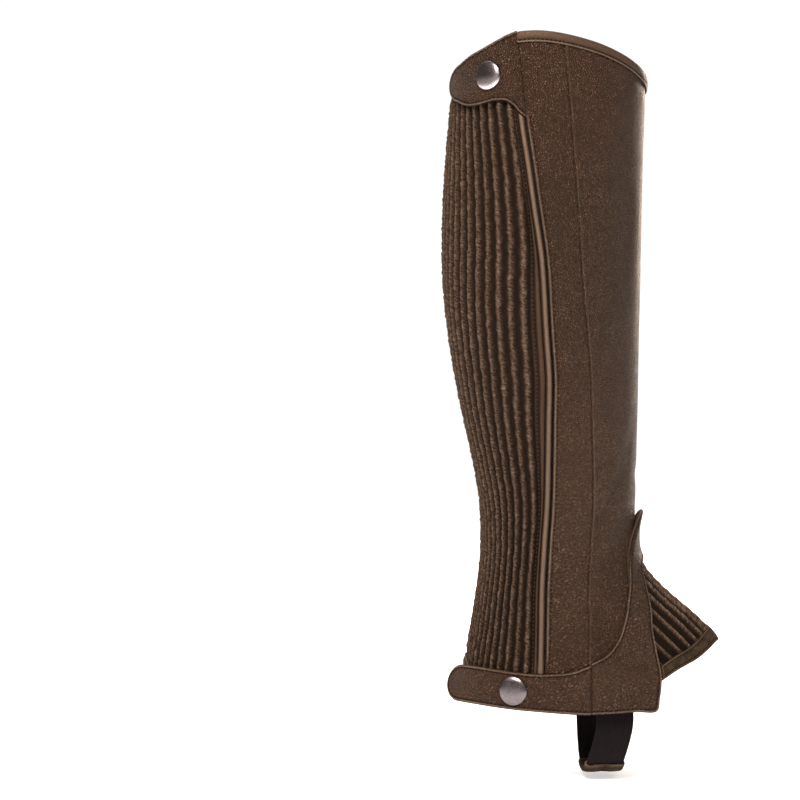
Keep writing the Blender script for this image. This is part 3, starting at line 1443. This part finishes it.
def bottom_tab_point(reach, z, out):
    """Place on the bottom tab: on the leg, then straight on behind it."""
    leaves = BOTTOM_TAB_LEAVES
    on = on_leg(leaves + np.maximum(reach, 0.0), z, out)
    start = on_leg(np.full(len(z), leaves), z, out)
    direction = unit(leg_point(leaves - 0.5, z) - leg_point(leaves + 0.5, z))
    inward = -leg_normal(np.full(len(z), leaves), z)
    free = np.minimum(reach, 0.0)[:, None]
    off = start - direction * free + inward * BOTTOM_TAB_CURL * free**2
    return np.where((reach >= 0)[:, None], on, off)


def bottom_tab_place(u, v, out):
    """u runs from the seam with the overlay to the free tip, v from the lower to the upper edge."""
    seam = step_round(OVERLAY[0].gusset_angle, -375.0, -0.05)
    slant = OVERLAY[0].leg_angle - OVERLAY[0].gusset_angle
    on_leg_span = seam - BOTTOM_TAB_LEAVES
    turn, end = 0.66, 11.5
    side = 2 * v - 1
    straight = np.clip((u - turn) / (1 - turn), 0.0, 1.0)
    free_body = BOTTOM_TAB_FREE - end
    bend = 0.8
    into = np.clip((u - bend) / (1 - bend), 0.0, 1.0)
    reach_end, spread = round_end(into, side)
    reach = on_leg_span * (1 - np.clip(u / turn, 0.0, 1.0))
    reach = reach - free_body * np.clip((u - turn) / (bend - turn), 0.0, 1.0) - end * reach_end
    angle = BOTTOM_TAB_LEAVES + np.maximum(reach, -BOTTOM_TAB_LEAVES)
    narrowing = np.where(into > 0, spread, side)
    top, low = bottom_tab_top(angle), bottom_tab_low(angle)
    z = (top + low) / 2 + (top - low) / 2 * narrowing
    slanted = reach + slant * v * np.maximum(reach, 0.0) / on_leg_span
    return bottom_tab_point(slanted, z, out)


def make_tabs():
    """The two snap tabs, sewn all round except at their seams."""
    row = 1.9
    loose = ("low", "right", "top")
    top = Pattern(top_tab_place, loose)

    def face(u, v, gap):
        return STRONG + turned_edge(gap, row) - 0.35 * bell(u, 0.01)

    def marks(u, v, gap):
        worn, dark = sewn_at(row)(u, v, gap)
        return worn, np.maximum(dark, 0.9 * bell(u, 0.008))

    tab = bend_sheet("top_tab", top, 110, 76, face, marks, ease_u=0.55, ease_v=0.66)
    thicken(tab, STRONG, panel_leather())
    fit(tab, "brown_leather", "top_tab")
    bottom = Pattern(bottom_tab_place, loose)

    def lower_face(u, v, gap):
        return 0.3 + STRONG + turned_edge(gap, row) - 0.3 * bell(u, 0.005)

    def lower_marks(u, v, gap):
        worn, dark = sewn_at(row)(u, v, gap)
        return worn, np.maximum(dark, 0.85 * bell(u, 0.004))

    low_tab = bend_sheet("bottom_tab", bottom, 190, 46, lower_face, lower_marks, ease_u=0.55, ease_v=0.66)
    thicken(low_tab, STRONG, panel_leather())
    fit(low_tab, "brown_leather", "bottom_tab")
    seams = sew("top_tab_stitches", [tab], [top.inset(row, loose)])
    low_seams = sew("bottom_tab_stitches", [low_tab], [bottom.inset(row, loose)])


CapPoint = namedtuple("CapPoint", "share radius height")
CAP_SHAPE = table(
    CapPoint, (0.0, 0.0, 2.72), (0.14, 0.25, 2.66), (0.28, 0.5, 2.5), (0.42, 0.72, 2.24),
    (0.54, 0.88, 1.86), (0.62, 0.965, 1.4), (0.7, 1.0, 0.85), (0.78, 0.985, 0.45), (0.85, 0.93, 0.3),
    (1.0, 0.0, 0.3),
)


def make_snap_caps():
    """Domed caps with a rolled rim, pressed on the tabs."""
    radius_of = Curve(CAP_SHAPE, "share", "radius")
    height_of = Curve(CAP_SHAPE, "share", "height")
    for name, spot in (("top_snap_cap", TOP_CAP), ("bottom_snap_cap", BOTTOM_CAP)):
        deselect()
        bpy.ops.mesh.primitive_uv_sphere_add(segments=64, ring_count=44, radius=1.0)
        cap = bpy.context.object
        cap.name = cap.data.name = name
        ball = points_of(cap)
        share = np.arccos(np.clip(ball[:, 2], -1, 1)) / math.pi
        turn = np.arctan2(ball[:, 1], ball[:, 0])
        radius, height = np.clip(radius_of(share), 0.0, 1.0) * CAP_RADIUS, height_of(share)
        bed = 0.3 + STRONG
        centre = on_leg(spot.angle, spot.z, bed)
        out = leg_normal(spot.angle, spot.z)
        across = unit(np.cross(np.array([0.0, 0.0, 1.0]), out))
        upward = np.cross(out, across)
        turned = leg_normal(spot.angle + 8, spot.z) - leg_normal(spot.angle - 8, spot.z)
        apart = leg_point(spot.angle + 8, spot.z) - leg_point(spot.angle - 8, spot.z)
        bend = np.linalg.norm(apart) / np.linalg.norm(turned) + bed
        sideways = radius * np.cos(turn)
        sag = sideways**2 / (2 * bend)
        set_points(cap, (centre + across * sideways[:, None] + upward * (radius * np.sin(turn))[:, None]
                         + out * (height - sag)[:, None]) * MM)
        face_out(cap, out * np.where(share < 0.5, 1, -1)[:, None])
        store(cap, "valley", bell(share - 0.74, 0.05))
        up = radius * np.sin(turn)
        polished = fade(-up, -0.5, 6.5) if spot is TOP_CAP else 0.5 * fade(up, 5.0, 7.8)
        store(cap, "wear", polished * (share < 0.72))
        cap.data.materials.append(aged_steel())
        smooth(cap, 80)
        fit(cap, "aged_steel", name)
    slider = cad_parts["zip_slider"]
    slider.data.materials.clear()
    slider.data.materials.append(aged_steel())


# ---------------------------------------------------------------- grip patch

def patch_place(u, v, out):
    z = blend(PATCH_LOW, PATCH_TOP, v)
    back, front = patch_back(z), patch_front(z)
    corner = np.clip(np.minimum(v, 1 - v) * 2 / PATCH_CORNER, 0.0, 1.0)
    narrow = 1 - PATCH_CORNER_WIDE * (1 - np.sqrt(np.maximum(1 - (1 - corner) ** 2, 0.0)))
    return on_leg((back + front) / 2 + (back - front) / 2 * narrow * (2 * u - 1), z, out)


def make_grip_patch():
    """Large patch on the inner side of the calf, held by two rows of stitches."""
    outer_row, inner_row = 1.3, 6.6
    pattern = Pattern(patch_place)

    def face(u, v, gap):
        crown = 0.5 * np.sin(math.pi * u) * np.sin(math.pi * v)
        pillow = 0.25 * bell(gap - (outer_row + inner_row) / 2, 1.5) + 0.3 * bell(gap - inner_row - 2.6, 1.8)
        rows = 0.42 * bell(gap - outer_row, 0.5) + 0.45 * bell(gap - inner_row, 0.6)
        return 0.5 + 1.3 + crown + pillow - rows - 0.6 * bell(gap, 0.4)

    def ease(v):
        return (1 - np.cos(math.pi * v)) / 2

    def marks(u, v, gap):
        rows = np.maximum(bell(gap - outer_row, 0.4), 0.8 * bell(gap - inner_row, 0.5))
        return 0.8 * bell(gap - 0.5, 0.4), rows

    patch = bend_sheet("inner_patch", pattern, 130, 230, face, marks, ease_u=0.55, ease_v=ease)
    thicken(patch, 1.3, trim_leather())
    fit(patch, "brown_leather", "inner_patch")
    seams = sew("inner_patch_stitches", [patch], [pattern.inset(outer_row), pattern.inset(inner_row)])


# ---------------------------------------------------------------- gusset

CREST_STATIONS = np.arange(-264.0, -352.0, -3.0)


def crest_walk(crest_z, side):
    """Distances, angles and heights of a line that leaves the crest squarely."""
    start = leg_point(180, crest_z)
    along = unit(leg_point(180, crest_z - 1) - leg_point(180, crest_z + 1))
    angle, z, walked = 180.0, crest_z, 0.0
    line = [(0.0, angle, z)]
    before = start
    while walked < OUTER_RIBS * RIB_PITCH:
        angle += 2.0 * side
        for _ in range(5):
            miss = (leg_point(angle, z) - start) @ along
            rate = (leg_point(angle, z + 0.1) - leg_point(angle, z)) @ along / 0.1
            z = float(z - miss / rate)
        here = leg_point(angle, z)
        walked += float(np.linalg.norm(here - before))
        before = here
        line.append((walked, angle, z))
    return np.array(line).T


@cache
def crest_walks(side):
    return [crest_walk(float(z), side) for z in CREST_STATIONS]


def line_beside_crest(distance):
    """Angles and heights of the gusset's line at a distance beside the crest, from top to foot."""
    walks = crest_walks(1 if distance > 0 else -1)
    angles = np.array([np.interp(abs(distance), walk[0], walk[1]) for walk in walks])
    heights = np.array([np.interp(abs(distance), walk[0], walk[2]) for walk in walks])

    def crossing(edge):
        above = heights - edge
        for index in range(len(above) - 1):
            if above[index] >= 0 > above[index + 1]:
                return index + above[index] / (above[index] - above[index + 1])
        return 0.0 if above[0] < 0 else len(above) - 1.0

    steep = 1 - fade(angles, 120.0, 132.0)
    high = crossing(notch_edge(angles) - 2 * SEAM_GAP - 3.0 * steep)
    low = crossing(gusset_foot(angles) + 0.6)
    return angles, heights, high, low


def gusset_place(u, v, out):
    distance = np.round(blend(-OUTER_RIBS * RIB_PITCH, INNER_RIBS * RIB_PITCH, u), 6)
    angle, z = np.empty(len(u)), np.empty(len(u))
    for value in np.unique(distance):
        here = distance == value
        angles, heights, high, low = line_beside_crest(float(value))
        station = blend(high, low, v[here])
        angle[here] = np.interp(station, np.arange(len(angles)), angles)
        z[here] = np.interp(station, np.arange(len(angles)), heights)
    return on_leg(angle, z, out)


def make_gusset():
    """Stretch gusset over the instep: narrow ribs that run down beside its crest."""
    ribs = OUTER_RIBS + INNER_RIBS
    rng = np.random.default_rng(5)
    piece, u, v = flat_grid("gusset", ribs * 10, 70)
    foot, top = -2.3, 0.3
    across = u * ribs
    rib = np.clip(np.rint(across), 0, ribs).astype(int)
    phase = across - np.rint(across)
    hump = bell(phase, 0.15)
    base = gusset_place(u, v, 0.0)
    ripple = rng.uniform(0, math.tau, ribs + 1)[rib]
    crinkle = 0.07 * np.sin(v * 60 + ripple) + 0.05 * np.sin(v * 131 + 2 * ripple)
    alive = fade(v, 0.0, 0.1) * (1 - fade(v, 0.88, 0.96))
    height = blend(foot, top, hump * (1 + crinkle) * alive)
    set_points(piece, gusset_place(u, v, height) * MM)
    face_out(piece, gusset_place(u, v, 1.0) - base)
    store(piece, "valley", (1 - fade(hump, 0.1, 0.8)) * alive)
    store(piece, "wear", 1.7 * hump * alive)
    lay_uv(piece, phase * RIB_PITCH, v * 60.0)
    thicken(piece, 1.1, pleat_leather(), elastic_back(), pleat_leather())
    fit(piece, "pleated_leather", "gusset")


def band_place(u, v, out):
    z = np.full(len(u), TIP_Z)
    for _ in range(6):
        start = step_round(outer_leg_side(z), z, SEAM_GAP)
        end = step_round(inner_leg_side(z), z, -SEAM_GAP)
        angle = blend(start, end, u)
        z = gusset_foot(angle) + BAND_WIDTH * v
    return on_leg(angle, z, out)


def make_gusset_band():
    pattern = Pattern(band_place)
    row = 1.5

    def face(u, v, gap):
        sides = -0.3 * bell(gap - row, 0.5) - 0.4 * bell(gap, 0.4) + 0.2 * np.sin(math.pi * v)
        rounded = (3.4 * (1 - v) ** 2 + 1.0) * bell(u - 0.5, 0.07)
        return 0.3 + 1.3 + sides - rounded

    band = bend_sheet("gusset_band", pattern, 150, 22, face, sewn_at(row), ease_u=0.3, ease_v=0.4)
    thicken(band, 1.3, suede(), suede(), suede())
    fit(band, "olive_suede", "gusset_band")
    seams = sew("gusset_band_stitches", [band], [pattern.inset(row, ("top",)), pattern.inset(row, ("low",))])


# ---------------------------------------------------------------- foot strap

def strap_line(t):
    """Middle line of the strap in the Y-Z plane, and its outward direction, at shares of its length."""
    leg = STRAP_TOP - STRAP_BEND
    drop = STRAP_BEND - STRAP_FOOT
    turn = np.linspace(0, math.pi, 90)
    flat = 0.86
    across = -np.cos(turn)
    y = STRAP_HALF_SPAN * np.sign(across) * np.abs(across) ** flat
    z = STRAP_BEND - drop * np.sin(turn) ** flat
    rise = np.linspace(0, leg, 20)[1:]
    y = np.concatenate([np.full(19, -STRAP_HALF_SPAN), y, np.full(19, STRAP_HALF_SPAN)])
    z = np.concatenate([STRAP_BEND + rise[::-1], z, STRAP_BEND + rise])
    walked = np.concatenate([[0], np.cumsum(np.hypot(np.diff(y), np.diff(z)))])
    along = np.stack([np.gradient(y), np.gradient(z)], 1)
    along /= np.linalg.norm(along, axis=1, keepdims=True)
    at = t * walked[-1]
    parts = [np.interp(at, walked, values) for values in (y, z, along[:, 1], -along[:, 0])]
    return (*parts, walked[-1])


def strap_lean(y, z):
    """The outer side swings back as it goes down, and the inner side stands a little forward."""
    return blend(STRAP_LEAN * fade(-z, 378.0, 412.0), -2.6, (y / STRAP_HALF_SPAN + 1) / 2)


def strap_place(t, x, out):
    y, z, out_y, out_z, _ = strap_line(t)
    return np.stack([x - strap_lean(y, z), y + out_y * out, z + out_z * out], 1)


def make_strap():
    """Elastic strap that runs under the boot, with its leather sleeve at the sole."""
    half, corner = STRAP_THICK / 2, 0.35
    shares = (0.0, 0.25, 0.5, 0.75, 1.0)
    face = [(share, half) for share in shares] + [(1.02, 0.0)]
    ring = np.array(face + [(1 - share, -out) for share, out in face] + face[:1])
    length = float(strap_line(np.zeros(1))[4])

    def place(station, v):
        return strap_place(v, blend(STRAP_BACK, STRAP_FRONT, ring[station, 0]), ring[station, 1])

    def outward(station, v):
        return strap_place(v, 0.0, ring[station, 1]) - strap_place(v, 0.0, 0.0)

    strap = ring_grid("foot_strap", len(ring) - 1, 90, place, outward)[0]
    close_bar(strap)
    modify(strap, "BEVEL", width=corner * MM, segments=2, limit_method="ANGLE", angle_limit=math.radians(60))
    points = points_of(strap) / MM
    tree_t = np.linspace(0, 1, 800)
    tree = search_tree(strap_place(tree_t, 0.0, 0.0))
    along = np.array([tree_t[tree.find((0.0, point[1], point[2]))[1]] for point in points]) * length
    lay_uv(strap, points[:, 0] + strap_lean(points[:, 1], points[:, 2]) - STRAP_BACK, along)
    strap.data.materials.append(webbing())
    smooth(strap)
    fit(strap, "black_elastic", "foot_strap")

    hole = half + SEAM_GAP
    skin = hole + 1.1
    half_way = np.linspace(0.5, 0.0, 400)
    heights = strap_line(half_way)[1]
    first = np.interp(SLEEVE_TOP, heights, half_way)
    last = 1 - np.interp(SLEEVE_TOP - 5.0, heights, half_way)

    def ring_at(share):
        """Section of the sleeve: a flat loop round the strap, with round ends."""
        middle = (STRAP_BACK + STRAP_FRONT) / 2
        reach = (STRAP_FRONT - STRAP_BACK) / 2 + SEAM_GAP + 0.9
        turn = share * math.tau
        x = middle + reach * np.sign(np.cos(turn)) * np.abs(np.cos(turn)) ** 0.35
        out = skin * np.sign(np.sin(turn)) * np.abs(np.sin(turn)) ** 0.5
        return x, out

    def sleeve_place(share, v):
        x, out = ring_at(share)
        edge_wave = 0.5 * np.sin(x * 0.55 + 1.0) + 0.25 * np.sin(x * 1.3)
        t = blend(first, last, v)
        t = t + edge_wave / length * (1 - 2 * v) * 0.8
        seam = 0.45 * bell(x - SLEEVE_SLIT, 0.5) * (out > 0)
        return strap_place(t, x, out - seam * np.sign(out))

    def sleeve_out(share, v):
        out = ring_at(share)[1]
        t = blend(first, last, v)
        return strap_place(t, 0.0, out) - strap_place(t, 0.0, 0.0)

    sleeve, share, v = flat_grid("strap_patch", 96, 60)
    set_points(sleeve, sleeve_place(share, v) * MM)
    face_out(sleeve, sleeve_out(share, v))
    store(sleeve, "wear", bell(np.minimum(v, 1 - v) * 60.0, 2.5))
    store(sleeve, "valley", bell(ring_at(share)[0] - SLEEVE_SLIT, 0.6))
    close_ring(sleeve)
    thicken(sleeve, 1.0, suede())
    fit(sleeve, "olive_suede", "strap_patch")


# ---------------------------------------------------------------- stage

Light = namedtuple("Light", "name place size watts colour")
LIGHTS = table(
    Light,
    ("key", (-0.42, -0.98, 0.8), 0.6, 46.0, (1.0, 0.88, 0.77)),
    ("rim", (0.95, 1.35, 0.15), 0.5, 12.0, (1.0, 0.8, 0.64)),
    ("top", (0.0, 1.4, 2.4), 3.0, 90.0, (1.0, 1.0, 1.0)),
)


def light_the_room():
    """World that is white behind the chap and to the camera, and dim and warm all round."""
    warm, white = (1.0, 0.77, 0.58), (1.0, 1.0, 1.0)
    behind = (0.109, 0.994, 0.0)
    world = bpy.context.scene.world or bpy.data.worlds.new("world")
    bpy.context.scene.world = world
    world.use_nodes = True
    sky = NodeTree(world.node_tree)
    facing = sky.node("ShaderNodeVectorMath", {"operation": "DOT_PRODUCT"}, {
        0: sky.node("ShaderNodeTexCoord", output="Generated"), 1: behind}, output="Value")
    backdrop = sky.node("ShaderNodeMapRange", {"interpolation_type": "SMOOTHSTEP"}, {
        "Value": facing, "From Min": 0.84, "From Max": 0.965, "To Min": 0.3, "To Max": 1.03})
    bright = sky.node("ShaderNodeMath", {"operation": "MAXIMUM"}, {
        0: backdrop, 1: sky.node("ShaderNodeLightPath", output="Is Camera Ray")})
    background = sky.tree.nodes["Background"]
    sky.feed(background.inputs["Strength"], bright)
    sky.feed(background.inputs["Color"], sky.mix(bright, warm, white))


def make_stage():
    """Camera at the photograph's place, pale floor and soft light."""
    azimuth, lens, sensor = 83.76, 101.0, 36.0
    place = (-0.2344, -1.3295, -0.192)
    bpy.ops.object.camera_add(location=place, rotation=(math.pi / 2, 0, math.radians(azimuth - 90)))
    camera = bpy.context.object
    camera.name = "camera"
    camera.data.lens = lens
    camera.data.sensor_width = sensor
    bpy.context.scene.camera = camera

    floor_z, floor_radius = CAD_BOX[0].z - 0.001, 4.0
    deselect()
    bpy.ops.mesh.primitive_circle_add(vertices=96, radius=floor_radius, fill_type="NGON")
    floor = bpy.context.object
    floor.name = "floor"
    set_points(floor, points_of(floor) + (0, 0, floor_z))
    floor.data.materials.append(plain("floor_white", (0.97, 0.97, 0.97), 0.8, glow=0.55))

    light_the_room()
    bpy.context.scene.view_settings.view_transform = "Standard"

    aim = Vector((0.02, 0.0, -0.19))
    for light in LIGHTS:
        bpy.ops.object.light_add(type="AREA", location=light.place)
        lamp = bpy.context.object
        lamp.name = light.name
        lamp.rotation_euler = (aim - Vector(light.place)).to_track_quat("-Z", "Y").to_euler()
        lamp.data.size = light.size
        lamp.data.energy = light.watts
        lamp.data.color = light.colour


# ---------------------------------------------------------------- the add-on

class HalfChapSizes(bpy.types.PropertyGroup):
    """Sizes that a maker may change."""

    leather: FloatProperty(name="Leather", description="Thickness of the leg panels",
                           default=0.0016, unit="LENGTH", precision=4)
    pleats: IntProperty(name="Pleats", description="Pleats across the elastic", default=16, min=4, max=30)
    stitch_pitch: FloatProperty(name="Stitch pitch", description="From one stitch to the next",
                                default=0.0025, unit="LENGTH", precision=4)
    stitch_length: FloatProperty(name="Stitch length", description="Thread that shows in each stitch",
                                 default=0.0018, unit="LENGTH", precision=5)
    thread: FloatProperty(name="Thread", description="Thickness of the thread",
                          default=0.0010, unit="LENGTH", precision=5)


class HalfChapColours(bpy.types.PropertyGroup):
    """Colours that a maker may change."""

    leather: FloatVectorProperty(name="Leather", description="Waxed outside of the leather",
                                 default=(0.070, 0.0415, 0.0285), subtype="COLOR", size=3)
    flesh: FloatVectorProperty(name="Flesh side", description="Napped inside of the leather",
                               default=(0.12, 0.068, 0.042), subtype="COLOR", size=3)
    edge: FloatVectorProperty(name="Cut edge", description="Dyed cut edges",
                              default=(0.05, 0.028, 0.018), subtype="COLOR", size=3)
    suede: FloatVectorProperty(name="Suede", description="Band of the gusset and sleeve of the strap",
                               default=(0.030, 0.021, 0.013), subtype="COLOR", size=3)
    elastic: FloatVectorProperty(name="Elastic", description="Webbing and zip tape",
                                 default=(0.0055, 0.0038, 0.0045), subtype="COLOR", size=3)
    thread: FloatVectorProperty(name="Thread", description="Sewing thread",
                                default=(0.006, 0.003, 0.002), subtype="COLOR", size=3)
    steel: FloatVectorProperty(name="Steel", description="Snap caps and slider",
                               default=(0.14, 0.125, 0.135), subtype="COLOR", size=3)


class HALFCHAP_OT_leg_panels(bpy.types.Operator):
    """Main panel and side panel, bent round the leg"""

    bl_idname = "half_chap.leg_panels"
    bl_label = "Leg Panels"

    def execute(self, context):
        make_leg_panels()
        return {"FINISHED"}


class HALFCHAP_OT_elastic(bpy.types.Operator):
    """Pleated elastic over the calf"""

    bl_idname = "half_chap.elastic"
    bl_label = "Pleated Elastic"

    def execute(self, context):
        make_elastic()
        return {"FINISHED"}


class HALFCHAP_OT_back_stay(bpy.types.Operator):
    """Stitched stay between the inner side and the elastic"""

    bl_idname = "half_chap.back_stay"
    bl_label = "Back Stay"

    def execute(self, context):
        make_back_stay()
        return {"FINISHED"}


class HALFCHAP_OT_zip(bpy.types.Operator):
    """Zip guard, tape and coil"""

    bl_idname = "half_chap.zip"
    bl_label = "Zip"

    def execute(self, context):
        make_zip()
        return {"FINISHED"}


class HALFCHAP_OT_bindings(bpy.types.Operator):
    """Rolled bindings round the top and the hem"""

    bl_idname = "half_chap.bindings"
    bl_label = "Bindings"

    def execute(self, context):
        make_bindings()
        return {"FINISHED"}


class HALFCHAP_OT_overlay(bpy.types.Operator):
    """Strong overlay round the instep"""

    bl_idname = "half_chap.overlay"
    bl_label = "Front Overlay"

    def execute(self, context):
        make_overlay()
        return {"FINISHED"}


class HALFCHAP_OT_tabs(bpy.types.Operator):
    """Snap tabs with their steel caps"""

    bl_idname = "half_chap.tabs"
    bl_label = "Snap Tabs"

    def execute(self, context):
        make_tabs()
        make_snap_caps()
        return {"FINISHED"}


class HALFCHAP_OT_grip_patch(bpy.types.Operator):
    """Grip patch on the inner side"""

    bl_idname = "half_chap.grip_patch"
    bl_label = "Grip Patch"

    def execute(self, context):
        make_grip_patch()
        return {"FINISHED"}


class HALFCHAP_OT_gusset(bpy.types.Operator):
    """Ribbed gusset over the instep, with its band"""

    bl_idname = "half_chap.gusset"
    bl_label = "Instep Gusset"

    def execute(self, context):
        make_gusset()
        make_gusset_band()
        return {"FINISHED"}


class HALFCHAP_OT_strap(bpy.types.Operator):
    """Elastic foot strap with its sleeve"""

    bl_idname = "half_chap.strap"
    bl_label = "Foot Strap"

    def execute(self, context):
        make_strap()
        return {"FINISHED"}


class HALFCHAP_OT_stage(bpy.types.Operator):
    """Camera, floor and lights"""

    bl_idname = "half_chap.stage"
    bl_label = "Stage"

    def execute(self, context):
        make_stage()
        return {"FINISHED"}


PIECES = (HALFCHAP_OT_leg_panels, HALFCHAP_OT_elastic, HALFCHAP_OT_back_stay, HALFCHAP_OT_zip,
          HALFCHAP_OT_bindings, HALFCHAP_OT_overlay, HALFCHAP_OT_tabs, HALFCHAP_OT_grip_patch,
          HALFCHAP_OT_gusset, HALFCHAP_OT_strap, HALFCHAP_OT_stage)


class HALFCHAP_PT_panel(bpy.types.Panel):
    """Sizes, colours and pieces of the half chap"""

    bl_idname = "HALFCHAP_PT_panel"
    bl_label = "Half Chap"
    bl_space_type = "VIEW_3D"
    bl_region_type = "UI"
    bl_category = "Half Chap"

    def draw(self, context):
        for group in (context.scene.half_chap_sizes, context.scene.half_chap_colours):
            box = self.layout.box()
            for name in group.__annotations__:
                box.prop(group, name)
        column = self.layout.column(align=True)
        for piece in PIECES:
            column.operator(piece.bl_idname)


CLASSES = (HalfChapSizes, HalfChapColours, *PIECES, HALFCHAP_PT_panel)


def register():
    for item in CLASSES:
        bpy.utils.register_class(item)
    bpy.types.Scene.half_chap_sizes = PointerProperty(type=HalfChapSizes)
    bpy.types.Scene.half_chap_colours = PointerProperty(type=HalfChapColours)


def unregister():
    del bpy.types.Scene.half_chap_colours
    del bpy.types.Scene.half_chap_sizes
    for item in reversed(CLASSES):
        bpy.utils.unregister_class(item)


def main():
    register()
    bpy.ops.half_chap.leg_panels()
    bpy.ops.half_chap.elastic()
    bpy.ops.half_chap.back_stay()
    bpy.ops.half_chap.zip()
    bpy.ops.half_chap.bindings()
    bpy.ops.half_chap.overlay()
    bpy.ops.half_chap.tabs()
    bpy.ops.half_chap.grip_patch()
    bpy.ops.half_chap.gusset()
    bpy.ops.half_chap.strap()
    bpy.ops.half_chap.stage()
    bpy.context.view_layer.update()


if __name__ == "__main__":
    main()
